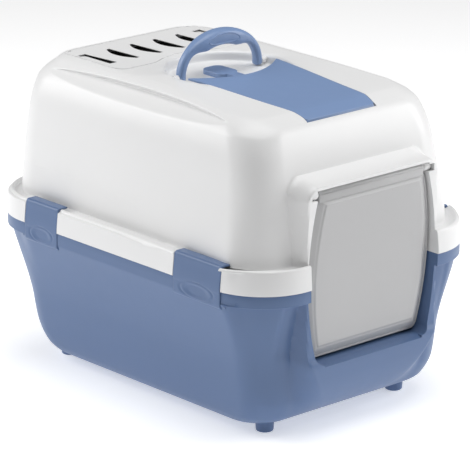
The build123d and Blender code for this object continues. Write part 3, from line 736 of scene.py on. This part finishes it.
def hood_cutters():
    """Everything that is open in the hood: way in, latch gaps, beds, well, recess and rod seats."""
    cutters = [way_in(BAND_FOOT - 20, 351)]
    cutters.append(box_solid("bar_room", (-108.5, -302, 344), (108.5, -268, 364.5)))
    for _, side, middle, half in latch_places():
        x0, x1 = sorted((side * (HALF_WIDTH - 22.2), side * (HALF_WIDTH + 6)))
        cutters.append(box_solid("gap", (x0, middle - half - 0.4, RIM - 1),
                                 (x1, middle + half + 0.4, BAND_TOP + 1.2)))
    cutters.append(lid_slab("lid_bed", 0.7, 3.4, 12.0))
    cutters.append(rod("lid_groove", (-67, LID_PIN_Y, LID_PIN_Z), (67, LID_PIN_Y, LID_PIN_Z), 6.8))
    cutters.append(box_solid("lid_nose", (-67, -226, 437), (67, -219, 452)))
    cutters.append(box_solid("well", (-58, -195, 416), (58, -50, ROOF + 5)))
    cutters.append(box_solid("neck", (-13, -52, 446), (13, -40, ROOF + 5)))
    cutters.append(recess_solid())
    cutters.append(cover_slab("cover_bed", 0.9, 3.4, 9.0))
    cutters.append(box_solid("pocket", (-108, 120, 442), (108, 212, ROOF + 1)))
    cutters.append(box_solid("cover_groove", (-112, 220.5, 451.6), (112, 231.4, ROOF + 1)))
    for side in (-1, 1):
        x0, x1 = sorted((side * 104, side * (rod_high[0] + 2.5)))
        cutters.append(rod("rod_seat", (x0, ROD_Y, ROD_Z), (x1, ROD_Y, ROD_Z), 6.6))
        cutters.append(box_solid("rod_slot", (x0, -300, ROD_Z - 5.4), (x1, ROD_Y, ROD_Z + 5.4)))
    return cutters


RECESS_RADIUS = 93.0
RECESS_MIDDLE = 5.0
RECESS_FLOOR = 446.0
RECESS_FRONT = -42.0


def recess_solid():
    """Round recess under the carry handle: circles that widen through a fillet at the floor and
    flare at the roof, cut straight across at the front."""
    depth = np.array([0, 0.3, 1.2, 2.6, 4.5, 7, 9.5, 11.2, 12.6, 13.7, 14.4, 16])
    size = RECESS_RADIUS + np.array([-3, -1.8, -0.9, -0.3, 0, 0, 0.3, 0.9, 2.0, 3.9, 6.5, 9.0])
    turn = np.linspace(0, 2 * math.pi, 160, endpoint=False)
    x = size[:, None] * np.sin(turn) * -1
    y = RECESS_MIDDLE + size[:, None] * np.cos(turn)
    y = np.maximum(y, RECESS_FRONT - np.maximum(size[:, None] - RECESS_RADIUS, 0) * 0.2)
    z = np.repeat((RECESS_FLOOR + depth)[:, None], 160, axis=1)
    return skin("recess", np.stack([x, y, z], axis=-1))


# ---------------------------------------------------------------- scoop lid
def lid_slab(name, grow, under, over):
    """The lid's plate: its half width runs from 85.7 at the back to 69.9 at the bend and 65.4 at the
    front, and its height follows the roof. The plate's back edge curves in and its front corners are
    rounded; a grown one, for cutting, has neither."""
    v = np.concatenate([np.linspace(0, 0.13, 12), np.linspace(0.15, 1, 30)])
    u = np.linspace(-1, 1, 61)
    front, notch = -223.3 - grow * 2, 34.0
    back = np.full(u.shape, grow) if grow else -notch * (1 - np.abs(u) ** 2.1)
    y = front + (back[None, :] - front) * v[:, None]
    half = np.interp(y, (-226, -197.7, 0, 5), (65.0, 69.9, 85.7, 86.1)) + grow
    if not grow:
        corner = 3.0
        past = np.clip(1 - (y - front) / corner, 0, 1)
        half = half - corner * (1 - np.sqrt(1 - past**2))
    x = u[None, :] * half
    z = roof(y)
    top = np.stack([x, y, z + over], axis=-1)
    bottom = np.stack([x, y, z - under], axis=-1)
    return slab(name, top, bottom)


def build_lid():
    """Scoop lid: its plate and the barrel it turns on."""
    plate = lid_slab("lid_plate", 0, 3.0, 0.25)
    face_out(plate)
    round_edges(plate, 0.7, 3)
    barrel = rod("barrel", (-65, LID_PIN_Y, LID_PIN_Z), (65, LID_PIN_Y, LID_PIN_Z), 5.0)
    lid = join("scoop_lid_panel", [plate, barrel])
    finish_piece(lid, "lid", light_blue(), ["scoop_lid"])


# ---------------------------------------------------------------- filter cover
def cover_slab(name, grow, under, over, rows=44, columns=130):
    """The cover's plate: its front edge is straight at the sides and swings out round the recess in
    an S; all corners are rounded."""
    half, front, back, corner = 127.0 + grow, 97.0 - grow, cover_high[1] + grow, 16.0
    x = half * np.sin(np.linspace(-RIGHT_ANGLE, RIGHT_ANGLE, columns))
    arc = RECESS_MIDDLE + np.sqrt(np.maximum((110.0 - grow) ** 2 - x**2, 0))
    near = -soft_min(np.full(x.shape, -front), -arc, 5.0)
    past = np.clip((np.abs(x) - (half - corner)) / corner, 0, 1)
    rounding = corner * (1 - np.sqrt(1 - past**2))
    near = near + rounding
    far = back - rounding
    v = np.linspace(0, 1, rows)
    y = near[None, :] + (far - near)[None, :] * v[:, None]
    x = np.repeat(x[None, :], rows, axis=0)
    top = np.stack([x, y, np.full(x.shape, ROOF + over)], axis=-1)
    bottom = np.stack([x, y, np.full(x.shape, ROOF - under)], axis=-1)
    return slab(name, top, bottom)


def slot_solid(x, at_end):
    """One vent slot through the cover, leaf shaped in plan: one side straight, the other bowed, blunt
    at the back and pointed at the front. The plate is thin round it: the cut widens below."""
    v = np.linspace(0, 1, 30)
    y = 134 + 66 * v
    if at_end:
        width, lean = np.full(v.shape, 16.5), 6.0 * (0.5 - v)
    else:
        width = 18.0 * np.sin(math.pi * (0.1 + 0.84 * v)) ** 0.75
        lean = 3.0 * (0.5 - v)
    right = x + 6.7 + lean
    left = right - np.maximum(width, 1.0)
    rings = []
    levels = ((ROOF - 8, 10, 1.12), (ROOF - 1.5, 9, 1.10), (ROOF - 0.9, 0, 1.0), (ROOF + 1, 0, 1.0))
    for z, out, stretch in levels:
        run = 167 + (y - 167) * stretch
        level = np.full(v.shape, z)
        rings.append(np.vstack([np.stack([left - out * 0.3, run, level], -1),
                                np.stack([right + out, run, level], -1)[::-1]]))
    return skin("slot", np.array(rings), flat_ends=True)


def build_cover():
    """Filter cover: its slotted plate and barrel, and the finish of the felt and the pins."""
    cover = cover_slab("filter_cover_plate", 0, 2.8, 0.0)
    face_out(cover)
    cutters = [slot_solid(-111.5 + 44.6 * n, n in (0, 5)) for n in range(6)]
    for side in (-1, 1):
        x0, x1 = sorted((side * 111, side * 129))
        cutters.append(box_solid("corner", (x0, 222.5, ROOF - 5), (x1, 232, ROOF + 2)))
    carve(cover, cutters)
    round_edges(cover, 0.5, 2)
    barrel = rod("barrel", (-110, COVER_PIN_Y, COVER_PIN_Z), (110, COVER_PIN_Y, COVER_PIN_Z), 3.0)
    piece = join("filter_cover_grille", [cover, barrel])
    finish_piece(piece, "cover", white(), ["filter_cover"])
    keep_node("charcoal_filter", charcoal())
    keep_node("cover_hinge_pins", white())


# ---------------------------------------------------------------- door
def build_door():
    """Door: a grid bowed at its sides, whose middle stands proud of a bevelled border."""
    z = np.concatenate([np.linspace(DOOR_FOOT, DOOR_FOOT + 22, 26),
                        np.linspace(DOOR_FOOT + 26, DOOR_TOP - 22, 26),
                        np.linspace(DOOR_TOP - 18, DOOR_TOP, 22)])
    u = np.concatenate([np.linspace(-1, -0.78, 26), np.linspace(-0.74, 0.74, 26), np.linspace(0.78, 1, 26)])
    half = door_half(z)
    corner = 9.0
    edge = np.minimum(z - DOOR_FOOT, DOOR_TOP - z)
    past = np.clip(1 - edge / corner, 0, 1)
    half = half - corner * (1 - np.sqrt(1 - past**2))
    x = u[None, :] * half[:, None]
    zz = np.repeat(z[:, None], len(u), axis=1)
    lean = (DOOR_TOP - zz) / (DOOR_TOP - DOOR_FOOT)
    y = door_low[1] + 11.0 * lean
    gap = np.minimum(half[:, None] - np.abs(x), (zz - DOOR_FOOT) * 0.9)
    gap = np.minimum(gap, (DOOR_TOP - zz) * 1.9)
    rise = 7.5 * np.clip((gap - 2.6) / 13.5, 0, 1)
    rise = rise - 0.9 * np.exp(-((gap - 15.1) / 1.6) ** 2)
    front = y + 7.0 - rise - 0.8 * np.exp(-((gap - 1.0) / 1.0) ** 2)
    back = y + 9.8 - rise
    near = np.stack([x, front, zz], axis=-1)
    far = np.stack([x, back, zz], axis=-1)
    panel = slab("door_sheet", near, far)
    face_out(panel)
    round_edges(panel, 0.5, 2, math.radians(50))
    web = box_solid("web", (-101, -288.2, 345), (101, -281, 357))
    round_edges(face_out(web), 1.0, 2)
    sleeve = rod("sleeve", (-101, ROD_Y, ROD_Z), (101, ROD_Y, ROD_Z), 5.4)
    door = join("door_flap", [panel, sleeve, web])
    finish_piece(door, "door", smoke(), ["door_panel"], sharp=45)
    bar = rod("bar", (rod_low[0] + 2, ROD_Y, ROD_Z), (rod_high[0] - 2, ROD_Y, ROD_Z), 4.0)
    knobs = [rod("knob", (side * 103.5, ROD_Y, ROD_Z), (side * rod_high[0], ROD_Y, ROD_Z), 6.0)
             for side in (-1, 1)]
    hinge = join("door_hinge_bar", [bar, *knobs])
    finish_piece(hinge, "door", white(), ["door_hinge_rod"])


# ---------------------------------------------------------------- carry handle
def build_handle():
    """Handle: superellipse sections carried up one leg, over a half ellipse and down the other,
    slim at the legs and full at the grip."""
    springing, rise, span, y = 455.0, 59.0, 80.0, 28.0
    leg, depth, grip, grip_depth = 12.0, 14.0, 24.0, 23.5
    angle = np.linspace(math.pi, 0, 120)
    share = np.abs(np.cos(angle))
    full = 1 - step(0.42, 0.86, share)
    thick = leg + (grip - leg) * full
    deep = depth + (grip_depth - depth) * full
    outer = np.stack([span * np.cos(angle), springing + rise * np.sin(angle)], -1)
    slope = np.stack([np.cos(angle) / span, np.sin(angle) / rise], -1)
    normal = slope / np.linalg.norm(slope, axis=1)[:, None]
    middle = outer - normal * thick[:, None] / 2
    leg_z = np.array([447.6, 448.2, 449.5, 451.5, 453.2])
    leg_size = np.array([0.55, 0.8, 0.95, 1.0, 1.0])
    count = 48
    turn = np.linspace(0, 2 * math.pi, count, endpoint=False)
    bulge = 2.7
    cx = np.sign(np.cos(turn)) * np.abs(np.cos(turn)) ** (2 / bulge)
    cy = np.sign(np.sin(turn)) * np.abs(np.sin(turn)) ** (2 / bulge)
    legs = []
    for side, order in ((-1, 1), (1, -1)):
        height, size = leg_z[::order, None], leg_size[::order, None]
        x = side * (span - leg / 2 + leg / 2 * size * cx)
        legs.append(np.stack([x, y + depth / 2 * size * cy, np.repeat(height, count, axis=1)], -1))
    wide, tall = cx * thick[:, None] / 2, cy * deep[:, None] / 2
    arch = np.stack([middle[:, :1] + normal[:, :1] * wide, y + tall,
                     middle[:, 1:] + normal[:, 1:] * wide], -1)
    handle = skin("carry_handle_arch", np.concatenate([legs[0], arch, legs[1]]))
    finish_piece(handle, "handle", light_blue(), ["carry_handle"], sharp=60)
    # A leaf-shaped pad is set in the front of the grip, with a raised lip round it.
    low, high = node_box("handle_grip_pad")
    pad_z = (low[2] + high[2]) / 2
    turn = np.linspace(0, 2 * math.pi, 96, endpoint=False)
    length, height = 31.0, 7.8
    leaf_x = length * np.cos(turn)
    leaf_z = height * np.sin(turn) * np.abs(np.sin(turn)) ** 0.25
    size = np.array([1.0, 1.0, 0.985, 0.95, 0.9, 0.86, 0.8, 0.6, 0.35, 0.12])
    front = np.array([2.0, -0.6, -1.2, -1.3, -0.9, -0.2, 0.0, -0.25, -0.45, -0.5])
    x = size[:, None] * leaf_x
    depth_in = np.repeat((y - grip_depth / 2 + 0.6 + front)[:, None], 96, axis=1)
    rings = np.stack([x, depth_in, pad_z - 1.5 + size[:, None] * leaf_z - 0.0035 * x**2], axis=-1)
    pad = skin("handle_pad_leaf", rings)
    finish_piece(pad, "handle", light_blue(), ["handle_grip_pad"], sharp=60)
    for side in ("left", "right"):
        keep_node(f"handle_pin_{side}", white())


# ---------------------------------------------------------------- scoop
def build_scoop():
    """The finish of the scoop and of the lid's pin."""
    keep_node("scoop", light_blue())
    keep_node("lid_hinge_pin", white())


# ---------------------------------------------------------------- stage
def lamp(name, direction, distance, size, power):
    """Soft box that looks at the middle of the object from a direction (azimuth, elevation)."""
    azimuth, elevation = (math.radians(v) for v in direction)
    out = Vector((math.sin(azimuth) * math.cos(elevation), -math.cos(azimuth) * math.cos(elevation),
                  math.sin(elevation)))
    light = bpy.data.lights.new(name, "AREA")
    light.shape = "RECTANGLE"
    light.size, light.size_y = size
    light.energy = power
    obj = bpy.data.objects.new(name, light)
    obj.location = Vector((0, 0, 0.25)) + out * distance
    obj.rotation_euler = out.to_track_quat("Z", "Y").to_euler()
    bpy.context.scene.collection.objects.link(obj)


FLOOR_GLOW = 0.46
ROOM_LIGHT = 0.10
CAMERA_LENS = 259.37
CAMERA_DISTANCE = 4.9226


def build_camera():
    """Long lens that looks at the front left corner from a little above."""
    azimuth, elevation, roll = math.radians(-42.665), math.radians(17.722), math.radians(0.5655)
    back = Vector((math.sin(azimuth) * math.cos(elevation), -math.cos(azimuth) * math.cos(elevation),
                   math.sin(elevation)))
    right = Vector((math.cos(azimuth), math.sin(azimuth), 0))
    up = back.cross(right)
    across = math.cos(roll) * right + math.sin(roll) * up
    upward = -math.sin(roll) * right + math.cos(roll) * up
    target = Vector((0, 0, 0.230)) + right * 0.005891 + up * -0.019809
    data = bpy.data.cameras.new("camera")
    data.sensor_width = 36.0
    data.lens = CAMERA_LENS
    data.clip_end = 50.0
    camera = bpy.data.objects.new("camera", data)
    place = target + back * CAMERA_DISTANCE
    camera.matrix_world = Matrix((
        (across.x, upward.x, back.x, place.x),
        (across.y, upward.y, back.y, place.y),
        (across.z, upward.z, back.z, place.z),
        (0, 0, 0, 1),
    ))
    bpy.context.scene.collection.objects.link(camera)
    bpy.context.scene.camera = camera


def build_stage():
    """Pale floor, dim white surroundings, three soft boxes and the camera."""
    x, y = np.meshgrid([-12000, 12000], [-12000, 12000])
    floor = new_mesh("floor", np.stack([x, y, np.zeros_like(x)], -1).astype(float), [(0, 1, 3, 2)])
    floor.data.materials.append(plastic("floor_paint", (0.93, 0.93, 0.94), (0.95, 0.95, 0.95), 0.8, 0.0))
    shader = floor.data.materials[0].node_tree.nodes["Principled BSDF"]
    shader.inputs["Emission Color"].default_value = (1, 1, 1, 1)
    shader.inputs["Emission Strength"].default_value = FLOOR_GLOW
    world = bpy.data.worlds.new("studio")
    world.use_nodes = True
    world.node_tree.nodes["Background"].inputs["Color"].default_value = (1, 1, 1, 1)
    world.node_tree.nodes["Background"].inputs["Strength"].default_value = ROOM_LIGHT
    bpy.context.scene.world = world
    lamp("left_box", (-140, 26), 2.6, (1.2, 1.8), 34)
    lamp("right_box", (54, 20), 2.8, (1.2, 1.8), 36)
    lamp("top_box", (10, 82), 2.6, (2.2, 2.2), 50)
    bpy.context.scene.view_settings.view_transform = "Standard"
    build_camera()


# ---------------------------------------------------------------- add-on classes
class LitterBoxColours(bpy.types.PropertyGroup):
    """Colours of the plastics and the felt."""
    tray: bpy.props.FloatVectorProperty(name="Tray", description="Tray, feet and latches", subtype="COLOR",
                                        size=3, min=0, max=1, default=(0.103, 0.171, 0.328))
    handle: bpy.props.FloatVectorProperty(name="Handle", description="Carry handle, scoop and its lid",
                                          subtype="COLOR", size=3, min=0, max=1,
                                          default=(0.210, 0.310, 0.525))
    hood: bpy.props.FloatVectorProperty(name="Hood", description="Hood and filter cover", subtype="COLOR",
                                        size=3, min=0, max=1, default=(0.84, 0.84, 0.84))
    door: bpy.props.FloatVectorProperty(name="Door", description="Door panel", subtype="COLOR", size=3,
                                        min=0, max=1, default=(0.49, 0.49, 0.495))
    felt: bpy.props.FloatVectorProperty(name="Filter", description="Carbon felt", subtype="COLOR", size=3,
                                        min=0, max=1, default=(0.022, 0.022, 0.022))


class LitterBoxSizes(bpy.types.PropertyGroup):
    """Sizes a user may change."""
    wall: bpy.props.FloatProperty(name="Wall", description="Wall thickness of the tray and hood",
                                  subtype="DISTANCE", unit="LENGTH", min=0.001, max=0.006, default=0.003)
    door_gap: bpy.props.FloatProperty(name="Door gap", description="Gap on each side of the door",
                                      subtype="DISTANCE", unit="LENGTH", min=0.001, max=0.006, default=0.003)


class LITTERBOX_OT_stage(bpy.types.Operator):
    """Floor, lights and camera"""
    bl_idname = "litterbox.stage"
    bl_label = "Stage"

    def execute(self, context):
        build_stage()
        return {"FINISHED"}


class LITTERBOX_OT_tray(bpy.types.Operator):
    """Tapered tray with its rim, step and latch seats"""
    bl_idname = "litterbox.tray"
    bl_label = "Tray"

    def execute(self, context):
        build_tray()
        return {"FINISHED"}


class LITTERBOX_OT_feet(bpy.types.Operator):
    """Four round feet"""
    bl_idname = "litterbox.feet"
    bl_label = "Feet"

    def execute(self, context):
        build_feet()
        return {"FINISHED"}


class LITTERBOX_OT_latches(bpy.types.Operator):
    """Four latches and their pins"""
    bl_idname = "litterbox.latches"
    bl_label = "Latches"

    def execute(self, context):
        build_latches()
        return {"FINISHED"}


class LITTERBOX_OT_hood(bpy.types.Operator):
    """Hood with its band, frame, recess and beds"""
    bl_idname = "litterbox.hood"
    bl_label = "Hood"

    def execute(self, context):
        build_hood()
        return {"FINISHED"}


class LITTERBOX_OT_door(bpy.types.Operator):
    """Swing door and its hinge bar"""
    bl_idname = "litterbox.door"
    bl_label = "Door"

    def execute(self, context):
        build_door()
        return {"FINISHED"}


class LITTERBOX_OT_cover(bpy.types.Operator):
    """Slotted cover, felt filter and hinge pins"""
    bl_idname = "litterbox.cover"
    bl_label = "Filter cover"

    def execute(self, context):
        build_cover()
        return {"FINISHED"}


class LITTERBOX_OT_lid(bpy.types.Operator):
    """Lid of the scoop's well"""
    bl_idname = "litterbox.lid"
    bl_label = "Scoop lid"

    def execute(self, context):
        build_lid()
        return {"FINISHED"}


class LITTERBOX_OT_handle(bpy.types.Operator):
    """Arched handle, its pad and pins"""
    bl_idname = "litterbox.handle"
    bl_label = "Carry handle"

    def execute(self, context):
        build_handle()
        return {"FINISHED"}


class LITTERBOX_OT_scoop(bpy.types.Operator):
    """Scoop and the lid's pin"""
    bl_idname = "litterbox.scoop"
    bl_label = "Scoop"

    def execute(self, context):
        build_scoop()
        return {"FINISHED"}


OPERATORS = (
    LITTERBOX_OT_stage, LITTERBOX_OT_tray, LITTERBOX_OT_feet, LITTERBOX_OT_latches,
    LITTERBOX_OT_hood, LITTERBOX_OT_door, LITTERBOX_OT_cover, LITTERBOX_OT_lid,
    LITTERBOX_OT_handle, LITTERBOX_OT_scoop,
)


class LITTERBOX_PT_panel(bpy.types.Panel):
    """Sidebar list of the colours, the sizes and the operators."""
    bl_label = "Litter box"
    bl_idname = "LITTERBOX_PT_panel"
    bl_space_type = "VIEW_3D"
    bl_region_type = "UI"
    bl_category = "Litter box"

    def draw(self, context):
        for name in ("tray", "handle", "hood", "door", "felt"):
            self.layout.prop(context.scene.litter_box_colours, name)
        for name in ("wall", "door_gap"):
            self.layout.prop(context.scene.litter_box_sizes, name)
        for cls in OPERATORS:
            self.layout.operator(cls.bl_idname)


CLASSES = (LitterBoxColours, LitterBoxSizes, *OPERATORS, LITTERBOX_PT_panel)


def register():
    for cls in CLASSES:
        bpy.utils.register_class(cls)
    bpy.types.Scene.litter_box_colours = bpy.props.PointerProperty(type=LitterBoxColours)
    bpy.types.Scene.litter_box_sizes = bpy.props.PointerProperty(type=LitterBoxSizes)


def unregister():
    del bpy.types.Scene.litter_box_sizes
    del bpy.types.Scene.litter_box_colours
    for cls in reversed(CLASSES):
        bpy.utils.unregister_class(cls)


def main():
    """Builds every piece in order."""
    register()
    bpy.ops.litterbox.stage()
    bpy.ops.litterbox.tray()
    bpy.ops.litterbox.feet()
    bpy.ops.litterbox.latches()
    bpy.ops.litterbox.hood()
    bpy.ops.litterbox.door()
    bpy.ops.litterbox.cover()
    bpy.ops.litterbox.lid()
    bpy.ops.litterbox.handle()
    bpy.ops.litterbox.scoop()


if __name__ == "__main__":
    main()
